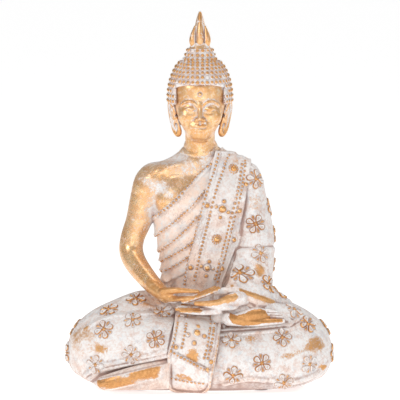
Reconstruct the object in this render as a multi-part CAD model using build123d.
"""Seated meditating figure, 280 mm tall, as cast resin sections with applied robe, sash and ornament.

Millimetres. +Z is up, the figure faces -Y, and +X is the figure's left. The origin is on the surface
that the figure stands on, under the middle of its bounding box. Sections are glued on spigots: torso into
legs, head onto neck, arm into shoulder, finial into hair cap. The shells are hollow, and a plate closes
the base.
"""

from build123d import *
import math
import os

# --- driving dimensions ---
TOP = 280.0  # top of the flame
BOTTOM = 1.0  # underside of the leg shell, held off the surface by the pads
SET_BACK = 8.66  # how far behind the origin the trunk's axis is; all positions below start from it
WALL = 5.0  # thickness of the cast shells
GLUE_GAP = 0.1  # clearance of each glued spigot in its socket
ROBE = 1.6  # how far the robe stands out from the body
SASH = 2.4  # how far each layer of sash stands out from what is under it
BEAD = 0.85  # radius of the beads in a row
BEAD_PITCH = 2.9  # spacing of the beads along a row
CURL = 1.7  # radius of a hair curl
CURL_PITCH = 3.7
FLOWER = 7.2  # radius of a flower
FLOWER_RELIEF = 1.2  # how far a flower's petals stand out
EMBED = 0.8  # how deep a flower's foot is pressed into the robe

# --- the trunk: horizontal ovals, as (z, x, y, half width, half depth) ---
TRUNK = [
    (50, 0, 10, 30, 24),
    (70, 0, 9, 28, 21),
    (90, 0, 6, 28, 20),
    (115, 0, 4, 32, 22),
    (135, 0, 3, 37, 22),
    (150, 0, 3, 40, 18.5),
    (160, 0, 3, 38, 14),
    (166, 0, 3, 28, 12.5),
    (170, 0, 3, 18, 12),
    (175, 0, 2, 12.5, 12),
    (182, 0, 1, 11.2, 11.3),
    (192, 0, 1, 11, 11),
]
TRUNK_CAVITY = (72, 158)  # lowest and highest z of the hollow in the trunk

# --- the crossed legs: upright ovals across X, as (x, y, z, half depth, half height) ---
HALF_LAP = [
    (25, -2, 23, 43, 44),
    (45, -7, 24, 40, 47.5),
    (70, -14, 23, 32, 41),
    (85, -17, 26, 22, 30),
    (93, -18, 28, 13, 17),
    (96.5, -18, 27, 5, 6),
]
MID_LAP = (0, 1, 20, 44, 44)
# shins in front of the lap, as (x, y, z, radius)
RIGHT_SHIN = [(-68, -22, 33, 23), (-40, -35, 36, 20), (-10, -40, 37, 16), (14, -32, 35, 11)]
LEFT_SHIN = [(70, -22, 25, 22), (42, -35, 25, 21), (12, -40, 22, 18), (-14, -32, 18, 12)]

# --- limbs, as (x, y, z, radius) ---
RIGHT_ARM = [
    (-30, 2, 150, 13),
    (-37, 2, 146, 11.5),
    (-45.5, 2, 122, 9.8),
    (-51.8, 3, 103, 8.6),
    (-49, -7, 91, 8.5),
    (-37, -24, 78.5, 7.4),
    (-25.5, -37, 71.5, 5),
]
LEFT_SLEEVE = [
    (166, 36, 2, 4, 5),
    (163, 36, 2, 9, 10),
    (155, 37, 2, 13, 13),
    (140, 38.5, 1.5, 13, 15),
    (120, 41, 0, 14, 17),
    (100, 41, -4, 14.6, 20),
    (85, 40, -9, 14.6, 23),
    (75, 40, -12, 15, 26),
    (66, 41, -14, 18, 27),
    (58, 42, -14, 22, 27),
]

# --- the head ---
FACE_HALF_WIDTH = 18.0
CHIN = 184.0
HAIRLINE = 227.3
HAIRLINE_RISE = 5.0  # how far its middle stands above its corners
HEAD_CORE = [
    (CHIN, 0, -13, 6, 6),
    (187, 0, -10.5, 10.5, 10.5),
    (193, 0, -7, 14, 15.5),
    (202, 0, -3, 16.8, 19.5),
    (211, 0, -1.5, FACE_HALF_WIDTH, 21.5),
    (219, 0, -0.5, 18.3, 21.5),
    (227, 0, 0, 17.5, 20),
    (235, 0, 1, 13, 15),
    (239, 0, 1, 6, 8),
]
HAIR_CENTRE = (0, 1, 216)
HAIR_RADII = (23.6, 26.5, 31)
NAPE = 194.0  # lowest hair at the back
TOPKNOT = [(238, 13), (244, 11.6), (248.5, 10.2), (252, 8.6)]  # (z, radius)
TOPKNOT_CURLS = [(250.9, 9.1), (247.5, 10.5), (244.1, 11.6)]  # (z, radius)
TOPKNOT_Y = 3.0
COLLAR_TOP = 253.5
EAR = [(2.0, 210, 23.2, 3.6), (1.0, 203, 22.0, 3.4), (0, 195, 18.8, 2.8), (-1, 189, 16.6, 2.6)]

# --- cloth outlines in front view, as (x, z) ---
NECKLINE = ((10, 172), (-35, 126))
UPPER_SASH = [
    (-14, 50), (-14, 75), (-6.5, 108), (-2, 125), (3, 147), (10.5, 176),
    (40, 176), (38, 166), (34.5, 143), (27.8, 104.6), (17, 76), (12, 50),
]  # fmt: skip
SASH_TAIL = [
    (-18, 56), (16.5, 56), (14, 33), (9, 9), (7, 0),
    (-21, 0), (-24, 8), (-24, 24), (-20.5, 37),
]  # fmt: skip
SASH_END = [
    (-18, 56), (16.5, 56), (14, 33),
    (9.5, 9.5), (-23.5, 26.5), (-20.5, 37),
]  # fmt: skip

# --- bead rows in front view, as (x, z) ---
PLEAT_ROWS = [
    [(8, 165.5), (-13, 144), (-19, 137.5), (-29, 129.5), (-34, 126)],
    [(2.5, 145), (-8, 133), (-21, 121.5), (-33, 113)],
    [(-3, 126), (-12.6, 115), (-24, 105.5), (-30.5, 101)],
    [(-6.5, 107), (-15, 101), (-24, 96), (-29, 93.5)],
    [(-10, 96), (-17, 91), (-24, 87.5), (-28.5, 86)],
]
SASH_ROWS = {
    "right_outer": [(13.5, 173), (10.5, 161), (6, 148), (0, 125), (-4.3, 110), (-11.5, 76)],
    "right_inner": [(20, 172), (17, 161), (12.3, 147), (6.8, 126), (3, 111), (-4.5, 77)],
    "left_inner": [(31.5, 170), (29.8, 156), (26.6, 139.4), (23.3, 127), (20, 114), (10.5, 78)],
    "left_outer": [(34.6, 169), (32.6, 156), (29.2, 139.4), (25.9, 127), (22.6, 114), (13.1, 78)],
}
LOWER_ROWS = {
    "right_outer": [(-15.5, 53), (-18, 41), (-21.5, 28)],
    "right_inner": [(-9.5, 53), (-11, 42), (-13.5, 30)],
    "left_inner": [(7.8, 54), (7.5, 45), (5.5, 32), (2.5, 20)],
    "left_outer": [(10.6, 54), (10.3, 45), (8.3, 32), (5.3, 20)],
    "diagonal": [(-21.5, 27), (-9, 20.2), (6.5, 12)],
    "foot": [(-20.5, 6.5), (-8, 4), (4.5, 3)],
}
# single domes on the sash, as (x, z, radius)
UPPER_STUDS = [
    (16.5, 132.4, 2.8), (17.8, 137.9, 1.3), (20.9, 129.8, 1.3), (15, 126, 1.3), (12, 134, 1.3),
    (5.2, 88.5, 2.5), (6.8, 92.9, 1.3), (9.6, 87.5, 1.2), (4.5, 82.3, 1.3), (0.8, 89.5, 1.2),
    (5.4, 134.9, 1.7), (34.2, 150.4, 1.7), (29.2, 130.9, 1.7), (25.2, 109, 1.6),
    (-7, 88.5, 1.7), (16.4, 87.5, 1.6),
]  # fmt: skip
LOWER_STUDS = [
    (-2.4, 40.5, 2.5), (-1.6, 45, 1.6), (3.2, 38.2, 1.4), (-4.3, 33.3, 1.5), (-9, 39.4, 1.5),
    (-12.3, 51.3, 1.6), (13, 48.4, 1.6), (-17.6, 30.4, 1.5), (8.2, 19.4, 1.7), (5.4, 13.6, 1.4),
]  # fmt: skip
MEDALLIONS = [(24.8, 162, 3.0), (12.2, 109.6, 2.9)]

# --- flowers: where each is, in the view named by its list ---
RIGHT_LEG_FLOWERS = [
    (-70, 41.7), (-49, 48), (-67.5, 57), (-47.5, 64.5),
    (-50, 25.2), (-32.4, 36), (-76.5, 17), (-29, 53.5),
]  # fmt: skip
LEFT_LEG_FLOWERS = [
    (60.5, 36.5), (80, 46.3), (45.5, 18.2), (80, 17),
    (61.5, 4.2), (23.3, 34.1), (24.4, 9.5), (69.6, 56),
]  # fmt: skip
KNEE_FLOWERS = [(-20, 27), (-14, 45), (-6, 14)]  # (y, z), on the outer side of each knee
SLEEVE_FLOWERS = [(42, 155), (41.3, 121), (45, 99), (33.5, 82.5), (50.5, 76)]
SLEEVE_SIDE_FLOWERS = [(0, 134), (4, 113), (-2, 90), (-16, 70)]  # (y, z), on the outer side of the arm
BACK_LEG_FLOWERS = [
    (-58, 34), (-38, 54), (-34, 22), (-12, 40), (12, 16),
    (14, 46), (36, 26), (40, 56), (60, 36),
]  # fmt: skip
BACK_ROBE_FLOWERS = [(-16, 92), (-4, 116), (-18, 120), (2, 82)]

PAD_RADIUS = 6.0
PAD_HEIGHT = 2.0
PAD_SPACING = (90.0, 28.0)
BASE_CENTRE_Y = -9.0
BASE_OPENING = (64.0, 24.0)  # half width and half depth of the hole under the legs
BASE_REBATE = (67.0, 27.0)
PLATE_HEIGHT = 3.0
FAR = 400.0  # larger than the figure
TILT = 7.0  # outlines and rows are drawn as seen from the front and this many degrees above
AWAY = (0.0, math.cos(math.radians(TILT)), -math.sin(math.radians(TILT)))  # the line of sight


def oval(a, b):
    """An oval face; its edge starts on the first axis, so that a loft through several doesn't twist."""
    steps = [math.pi / 4 * i for i in range(8)]
    return make_face(Spline(*[(a * math.cos(t), b * math.sin(t)) for t in steps], periodic=True))


def between(stations, parts=2):
    """The stations with smoothly blended ones added between them."""
    out = []
    for i in range(len(stations) - 1):
        before, a, b = stations[max(i - 1, 0)], stations[i], stations[i + 1]
        after = stations[min(i + 2, len(stations) - 1)]
        for k in range(parts):
            t = k / parts
            weights = (-t + 2 * t**2 - t**3, 2 - 5 * t**2 + 3 * t**3, t + 4 * t**2 - 3 * t**3, t**3 - t**2)
            stack = zip(before, a, b, after)
            out.append(tuple(sum(w * v for w, v in zip(weights, values)) / 2 for values in stack))
    return [*out, stations[-1]]


def ovals(sections, grow=0.0):
    """A solid through horizontal ovals, each grown by the same amount."""
    rings = [Plane((x, y, z)) * oval(a + grow, b + grow) for z, x, y, a, b in between(sections)]
    return loft(rings, ruled=True)


def limb(stations, grow=0.0):
    """A solid through circles square to the path that the stations make."""
    stations = between(stations)
    rings = []
    for i, (x, y, z, radius) in enumerate(stations):
        along = Vector(*stations[min(i + 1, len(stations) - 1)][:3]) - Vector(*stations[max(i - 1, 0)][:3])
        sideways = Vector(0, 1, 0).cross(along)
        ring = Plane(origin=(x, y, z), x_dir=sideways, z_dir=along)
        rings.append(ring * oval(radius + grow, radius + grow))
    return loft(rings, ruled=True)


def lap(grow=0.0):
    """The mass of the folded thighs, through upright ovals from knee to knee."""
    right = [(-x, *rest) for x, *rest in reversed(HALF_LAP)]
    rings = []
    for x, y, z, half_depth, half_height in between([*right, MID_LAP, *HALF_LAP]):
        if half_depth + grow > 3:
            ring = Plane(origin=(x, y, z), x_dir=(0, 1, 0), z_dir=(1, 0, 0))
            rings.append(ring * oval(half_depth + grow, half_height + grow))
    return loft(rings, ruled=True)


def above(shape, z):
    return split(shape, bisect_by=Plane.XY.offset(z), keep=Keep.TOP)


def legs_outer():
    return above(lap() + limb(RIGHT_SHIN) + limb(LEFT_SHIN), BOTTOM)


def capsule(start, end, start_radius, end_radius):
    """A rounded, tapered rod between two points."""
    length = (Vector(*end) - Vector(*start)).length
    half = math.sqrt(0.5)
    outline = [
        ThreePointArc(
            (0, -start_radius), (start_radius * half, -start_radius * half), (start_radius, 0)
        ),
        Line((start_radius, 0), (end_radius, length)),
        ThreePointArc(
            (end_radius, length), (end_radius * half, length + end_radius * half), (0, length + end_radius)
        ),
        Line((0, length + end_radius), (0, -start_radius)),
    ]
    profile = Plane.XZ * make_face(Wire(outline))
    rod = revolve(profile, Axis.Z)
    return Plane(origin=start, z_dir=Vector(*end) - Vector(*start)).location * rod


def prism(outline, low_y=-FAR, high_y=FAR):
    """An outline in front view, as (x, z), carried along the line of sight from low_y to high_y."""
    face = Plane.XZ * make_face(Polyline(*outline, close=True))
    start = Vector(*AWAY) * (low_y / AWAY[1])
    return Pos(*start) * extrude(face, (high_y - low_y) / AWAY[1], dir=AWAY)


def tube_along_z(x, y, low, high, radius):
    return Pos(x, y, (low + high) / 2) * Cylinder(radius, high - low)


def hit(shape, start, direction):
    """Where a line first meets the shape, and the outward normal there, or None."""
    found = shape.find_intersection_points(Axis(start, direction))
    if not found:
        return None
    point, normal = min(found, key=lambda f: (f[0] - Vector(*start)).dot(Vector(*direction)))
    return point, (normal if normal.dot(Vector(*direction)) < 0 else -normal)


def on_front(shape, x, z):
    """The nearest point of the shape that shows at (x, z) in front view."""
    start = Vector(x, 0, z) - Vector(*AWAY) * FAR
    return hit(shape, tuple(start), AWAY)


def on_back(shape, x, z):
    """The point of the shape behind (x, z), met from the back."""
    start = Vector(x, 0, z) + Vector(*AWAY) * FAR
    return hit(shape, tuple(start), tuple(-v for v in AWAY))


def on_side(shape, side, y, z):
    return hit(shape, (side * FAR, y, z), (-side, 0, 0))


def along_surface(shape, row, find=on_front, pitch=BEAD_PITCH):
    """Points at equal steps along a row that is drawn in front view and laid on the shape."""
    path = Spline(*[(x, z) for x, z in row])
    fine = max(2, round(path.length / pitch * 4))
    places, gone = [], pitch
    last = None
    for i in range(fine + 1):
        p = path @ (i / fine)
        found = find(shape, p.X, p.Y)
        if found is None:
            continue
        gone += (found[0] - last).length if last is not None else 0
        last = found[0]
        if gone >= pitch:
            places.append(found)
            gone = 0.0
    return places


def bead_row(shape, row, find=on_front, radius=BEAD):
    return [Pos(*point) * Sphere(radius) for point, _ in along_surface(shape, row, find)]


def studs(shape, places, find=on_front):
    return [Pos(*find(shape, x, z)[0]) * Sphere(radius) for x, z, radius in places]


def flower():
    """One flower lying in XY, with its foot below Z = 0, its petals above and a bead at its centre."""
    petal_at, petal_radius, petals = 0.6 * FLOWER, 0.4 * FLOWER, 4
    face = Circle(0.34 * FLOWER)
    for i in range(petals):
        face += Rot(0, 0, 360 / petals * i) * Pos(petal_at, 0) * Circle(petal_radius)
    body = Pos(0, 0, -EMBED) * extrude(face, EMBED + FLOWER_RELIEF)
    return body + Pos(0, 0, FLOWER_RELIEF) * Sphere(0.16 * FLOWER)


def flowers(places):
    pattern = flower()
    return [Plane(origin=point, z_dir=normal).location * pattern for point, normal in places]


def medallion(shape, x, z, radius):
    """A dome with a ring of small beads round it."""
    point, normal = on_front(shape, x, z)
    ring = [
        Rot(0, 0, 360 / 12 * i) * Pos(radius + 0.35, 0, 0.3) * Sphere(0.65) for i in range(12)
    ]
    dome = split(Sphere(radius - 0.4), bisect_by=Plane.XY.offset(-0.6), keep=Keep.TOP)
    at = Plane(origin=point, z_dir=normal).location
    return [at * piece for piece in [dome, *ring]]


def hand(wrist, knuckles, tips, thumb, spread, height, finger):
    """An open hand, palm up: four fingers side by side across Y, and a thumb along the front edge."""
    wrist, knuckles, tips = Vector(*wrist), Vector(*knuckles), Vector(*tips)
    along = (knuckles - wrist).normalized()
    rings = []
    ovals_along = [(0, 4.6, 3.6), (0.35, 6.4, 3.4), (0.75, 7.4, 3.0), (1.05, 6.6, 2.2)]
    for share, half_width, half_height in ovals_along:
        at = wrist + (knuckles - wrist) * share
        across = Plane(origin=at, x_dir=(0, 1, 0), z_dir=along)
        rings.append(across * oval(half_width, half_height * height))
    body = loft(rings)
    for i in range(4):
        side = Vector(0, (i - 1.5) * spread, 0)
        shorter = (tips - knuckles) * (1 - 0.1 * abs(i - 1.2))
        start, end = knuckles + side - along * 2, knuckles + side * 0.9 + shorter
        body += capsule(tuple(start), tuple(end), finger, finger * 0.8)
    for start, end in zip(thumb, thumb[1:]):
        body += capsule(start, end, finger * 1.12, finger * 0.95)
    return body


def foot(heel, ball, toes, width, height, toe_count=5, toe_radius=1.9):
    """A foot lying along X, with a row of toes at its end."""
    heel, ball, toes = Vector(*heel), Vector(*ball), Vector(*toes)
    along = (ball - heel).normalized()
    shares = [(-0.16, 0.45), (-0.08, 0.8), (0.08, 1.0), (0.5, 0.92), (0.85, 1.12), (1.1, 0.95)]
    rings = []
    for share, size in shares:
        at = heel + (ball - heel) * share
        rings.append(Plane(origin=at, x_dir=(0, 1, 0), z_dir=along) * oval(width * size, height * size))
    body = loft(rings)
    for i in range(toe_count):
        side = (i - (toe_count - 1) / 2) * width * 1.7 / toe_count
        start, end = ball + Vector(0, side, 0), toes + Vector(0, side, 0)
        body += capsule(tuple(start), tuple(end), toe_radius, toe_radius * 0.8)
    return body


def hair_curls():
    """Rings of small curls over the hair, from the topknot to the nape, clear of the face and ears."""
    places = []
    for z, radius in TOPKNOT_CURLS:
        count = round(2 * math.pi * radius / CURL_PITCH)
        for i in range(count):
            a = 2 * math.pi * (i + 0.5) / count
            places.append((radius * math.sin(a), TOPKNOT_Y - radius * math.cos(a), z))
    cx, cy, cz = HAIR_CENTRE
    rx, ry, rz = HAIR_RADII
    rows = round(rz * math.pi / CURL_PITCH)
    for row in range(rows):
        tilt = math.pi * (row + 0.5) / rows
        count = max(1, round(math.pi * (rx + ry) * math.sin(tilt) / CURL_PITCH))
        for i in range(count):
            a = 2 * math.pi * (i + 0.5) / count
            x = cx + rx * math.sin(tilt) * math.sin(a)
            y = cy - ry * math.sin(tilt) * math.cos(a)
            z = cz + rz * math.cos(tilt)
            under_topknot = math.hypot(x, y - TOPKNOT_Y) < TOPKNOT[0][1] + 0.8 and z > HAIRLINE
            margin = CURL * 0.7
            share = min(1, abs(x) / (FACE_HALF_WIDTH + margin))
            arch = HAIRLINE + HAIRLINE_RISE * (math.sqrt(1 - share**2) - 1)
            over_face = y < -4 and abs(x) < FACE_HALF_WIDTH + margin and z < arch + margin
            by_ear = z < 213 and abs(y - 1) < 8
            if not (under_topknot or over_face or by_ear or z < NAPE + CURL or (y < -4 and z < 209)):
                places.append((x, y, z))
    return [Pos(*p) * Sphere(CURL) for p in places]


def face_window():
    """The opening in the hair for the face, seen from the front."""
    a, side = FACE_HALF_WIDTH, HAIRLINE - HAIRLINE_RISE
    outline = Wire([
        Line((-a, side), (-a, CHIN - 10)),
        Line((-a, CHIN - 10), (a, CHIN - 10)),
        Line((a, CHIN - 10), (a, side)),
        ThreePointArc((a, side), (0, HAIRLINE), (-a, side)),
    ])  # fmt: skip
    face = Plane.XZ * make_face(outline)
    return Pos(0, -3, 0) * extrude(face, 60, dir=(0, -1, 0))


def half_space_below_neckline():
    """Everything on the robe's side of its upper edge."""
    (ax, az), (bx, bz) = NECKLINE
    along = Vector(ax - bx, 0, az - bz).normalized()
    inward = Vector(along.Z, 0, -along.X)
    start, end = Vector(ax, 0, az) + along * 60, Vector(bx, 0, bz) - along * 160
    corners = [start, end, end + inward * 240, start + inward * 240]
    return prism([(c.X, c.Z) for c in corners])


def build():
    parts = {}
    trunk, legs = ovals(TRUNK), legs_outer()
    robe_outer, sash_outer = ovals(TRUNK, ROBE), ovals(TRUNK, ROBE + SASH)
    head_core = ovals(HEAD_CORE)
    seat_spigot = {"x": 0, "y": 4, "low": 44, "high": 74}

    # torso, with a spigot into the legs and another into the head
    neck_spigot = tube_along_z(0, 0, 180, 199, 6)
    cavity_low, cavity_high = TRUNK_CAVITY
    hollow = [s for s in TRUNK if cavity_low < s[0] < cavity_high]
    torso = trunk - legs - head_core + neck_spigot
    torso += tube_along_z(seat_spigot["x"], seat_spigot["y"], 46, 76, 13)
    torso -= ovals(hollow, -WALL) + tube_along_z(0, seat_spigot["y"], 40, 96, 9)
    shoulder = Pos(-39, 2, 143) * Rot(0, 90, 0)
    shoulder_peg = shoulder * Cylinder(3.5, 10)
    shoulder_socket = shoulder * Cylinder(3.5 + GLUE_GAP, 10 + 2 * GLUE_GAP)
    parts["torso_shell"] = torso - shoulder_socket

    # legs, hollow, with the socket for the torso and a rebate for the base plate
    leg_shell = legs - above(lap(-WALL), BOTTOM + PLATE_HEIGHT)
    opening = Pos(0, BASE_CENTRE_Y, 0) * extrude(Ellipse(*BASE_OPENING), 14)
    rebate = Pos(0, BASE_CENTRE_Y, 0) * extrude(Ellipse(*BASE_REBATE), BOTTOM + 1 + PLATE_HEIGHT + GLUE_GAP)
    leg_shell -= opening + rebate
    parts["leg_shell"] = leg_shell - tube_along_z(0, seat_spigot["y"], 40, 80, 13 + GLUE_GAP)

    plate = extrude(Ellipse(BASE_REBATE[0] - 0.2, BASE_REBATE[1] - 0.2), PLATE_HEIGHT)
    plate = Pos(0, BASE_CENTRE_Y, PAD_HEIGHT) * plate
    parts["base_plate"] = plate - tube_along_z(0, BASE_CENTRE_Y, 0, 8, 3)
    pad = extrude(Circle(PAD_RADIUS), PAD_HEIGHT)
    parts["felt_pads"] = [
        Pos(sx * PAD_SPACING[0] / 2, BASE_CENTRE_Y + sy * PAD_SPACING[1] / 2, 0) * pad
        for sx in (-1, 1)
        for sy in (-1, 1)
    ]

    # head, hair and finial
    head = head_core - tube_along_z(0, 0, 170, 199 + GLUE_GAP, 6 + GLUE_GAP)
    nose = loft([
        Plane((0, -19.0, 212)) * oval(1.3, 3.6),
        Plane((0, -19.4, 204)) * oval(2.2, 5.0),
        Plane((0, -19.4, 200.5)) * oval(3.4, 5.0),
        Plane((0, -18.2, 199)) * oval(2.6, 3.6),
    ])  # fmt: skip
    parts["head"] = head + nose
    hair = Pos(*HAIR_CENTRE) * scale(Sphere(1), by=HAIR_RADII)
    hair += loft([Plane((0, TOPKNOT_Y, z)) * Circle(r) for z, r in TOPKNOT])
    hair = above(hair, NAPE) - head_core - face_window() - ovals(TRUNK)
    parts["hair_cap"] = hair - tube_along_z(0, TOPKNOT_Y, 242, 254, 3 + GLUE_GAP)
    parts["hair_curls"] = hair_curls()
    for name, side in (("right_ear", -1), ("left_ear", 1)):
        rings = [
            Plane(origin=(side * x, y, z), x_dir=(1, 0, 0)) * oval(2.0, half_depth)
            for y, z, x, half_depth in EAR
        ]
        parts[name] = loft(rings) - head_core - hair
    parts["forehead_bead"] = Pos(*on_front(head_core, 0, 217.5)[0]) * Sphere(1.5)

    collar = tube_along_z(0, TOPKNOT_Y, TOPKNOT[-1][0], COLLAR_TOP, 8)
    peg = tube_along_z(0, TOPKNOT_Y, 242.2, COLLAR_TOP, 3)
    flame = Plane.XZ * make_face(Wire([
        Line((0, TOP), (0, COLLAR_TOP)),
        Line((0, COLLAR_TOP), (6.4, COLLAR_TOP)),
        Spline((6.4, COLLAR_TOP), (7.0, 259), (4.6, 266), (2.4, 273), (0, TOP)),
    ]))  # fmt: skip
    parts["finial_collar"] = collar + peg
    core = Pos(0, TOPKNOT_Y, 0) * revolve(flame, Axis.Z)
    parts["flame_core"] = core
    tongues = []
    for i, top in enumerate([276, 270, 267, 272, 267, 270]):
        at = Pos(0, TOPKNOT_Y, 0) * Rot(0, 0, 60 * i)
        lean = 6.3 * (TOP - top) / (TOP - COLLAR_TOP) + 0.4
        tongues.append(at * capsule((0, -5.9, COLLAR_TOP + 2.6), (0, -lean, top - 1), 2.4, 0.9))
    parts["flame_tongues"] = tongues

    # robe, sash and sleeve
    below_neckline = half_space_below_neckline()
    robe = (robe_outer - trunk) & below_neckline
    parts["robe_wrap"] = robe - legs
    band = prism(UPPER_SASH)
    upper_sash = ((sash_outer - robe_outer) & band) - legs
    parts["upper_sash"] = upper_sash
    sleeve = ovals(LEFT_SLEEVE) - robe_outer - legs - upper_sash
    parts["left_sleeve"] = sleeve

    near_legs = legs & prism([(-30, -12), (26, -12), (26, 70), (-30, 70)], -FAR, -15)
    tail_outer, end_outer = Pos(0, -SASH, 0) * near_legs, Pos(0, -2 * SASH, 0) * near_legs
    tail = above((tail_outer - near_legs) & prism(SASH_TAIL, -FAR, -20), 0)
    sash_end = above((end_outer - tail_outer) & prism(SASH_END, -FAR, -20), 0)

    # arm, hands and feet
    arm = limb(RIGHT_ARM) - robe_outer - legs - trunk
    parts["right_arm"] = arm + shoulder_peg
    left_hand = hand(
        (33, -39, 71), (8, -46, 66), (-16, -47, 64.5),
        [(24, -49.5, 69.5), (12, -52.5, 69), (-3, -52.5, 69)], 3.2, 1.0, 1.9,
    )  # fmt: skip
    right_hand = hand(
        (-25.5, -37, 71.5), (-5, -42, 73.5), (14, -42, 79),
        [(-20, -42.5, 71.5), (-11, -47.5, 73), (-2, -48.5, 75.5)], 3.2, 1.0, 1.8,
    )  # fmt: skip
    left_hand -= legs + sleeve + tail_outer
    cloth = robe_outer + upper_sash
    parts["left_hand"] = left_hand - cloth
    parts["right_hand"] = right_hand - limb(RIGHT_ARM) - left_hand - cloth - legs - tail_outer
    parts["sash_tail"] = tail
    parts["sash_end"] = sash_end - left_hand
    right_foot = foot((22, -43, 54.5), (50, -41, 55), (61, -39, 55.5), 9, 6.2)
    parts["right_foot"] = right_foot - legs - end_outer - left_hand
    left_foot = foot((-28, -44, 11), (-62, -43, 9), (-71, -42, 8), 10, 8.5)
    parts["left_foot"] = max(above(left_foot - legs - end_outer, BOTTOM).solids(), key=lambda s: s.volume)

    # beads, domes and flowers, pressed a little way into the cloth
    everything_worn = parts["robe_wrap"]
    for i, row in enumerate(PLEAT_ROWS):
        name = "neckline_beads" if i == 0 else f"pleat_beads_{i}"
        both = bead_row(everything_worn, row) + bead_row(everything_worn, row, on_back)
        parts[name] = both
    for name, row in SASH_ROWS.items():
        parts[f"sash_beads_{name}"] = bead_row(upper_sash, row) + bead_row(upper_sash, row, on_back)
    lower = {"foot": tail}
    for name, row in LOWER_ROWS.items():
        parts[f"sash_end_beads_{name}"] = bead_row(lower.get(name, sash_end), row)
    parts["upper_sash_domes"] = studs(upper_sash, UPPER_STUDS)
    parts["sash_end_domes"] = studs(sash_end, LOWER_STUDS)
    parts["sash_medallions"] = [p for m in MEDALLIONS for p in medallion(upper_sash, *m)]

    parts["right_leg_flowers"] = flowers(
        [on_front(legs, *p) for p in RIGHT_LEG_FLOWERS] + [on_side(legs, -1, *p) for p in KNEE_FLOWERS]
    )
    parts["left_leg_flowers"] = flowers(
        [on_front(legs, *p) for p in LEFT_LEG_FLOWERS] + [on_side(legs, 1, *p) for p in KNEE_FLOWERS]
    )
    parts["sleeve_flowers"] = flowers(
        [on_front(sleeve, *p) for p in SLEEVE_FLOWERS]
        + [on_side(sleeve, 1, *p) for p in SLEEVE_SIDE_FLOWERS]
    )
    parts["back_flowers"] = flowers(
        [on_back(legs, *p) for p in BACK_LEG_FLOWERS] + [on_back(robe_outer, *p) for p in BACK_ROBE_FLOWERS]
    )
    return parts


def main():
    os.makedirs("parts", exist_ok=True)
    for name, shape in build().items():
        solids = [s for piece in (shape if isinstance(shape, list) else [shape]) for s in piece.solids()]
        export_step(Compound([Pos(0, SET_BACK, 0) * s for s in solids]), f"parts/{name}.step")


main()
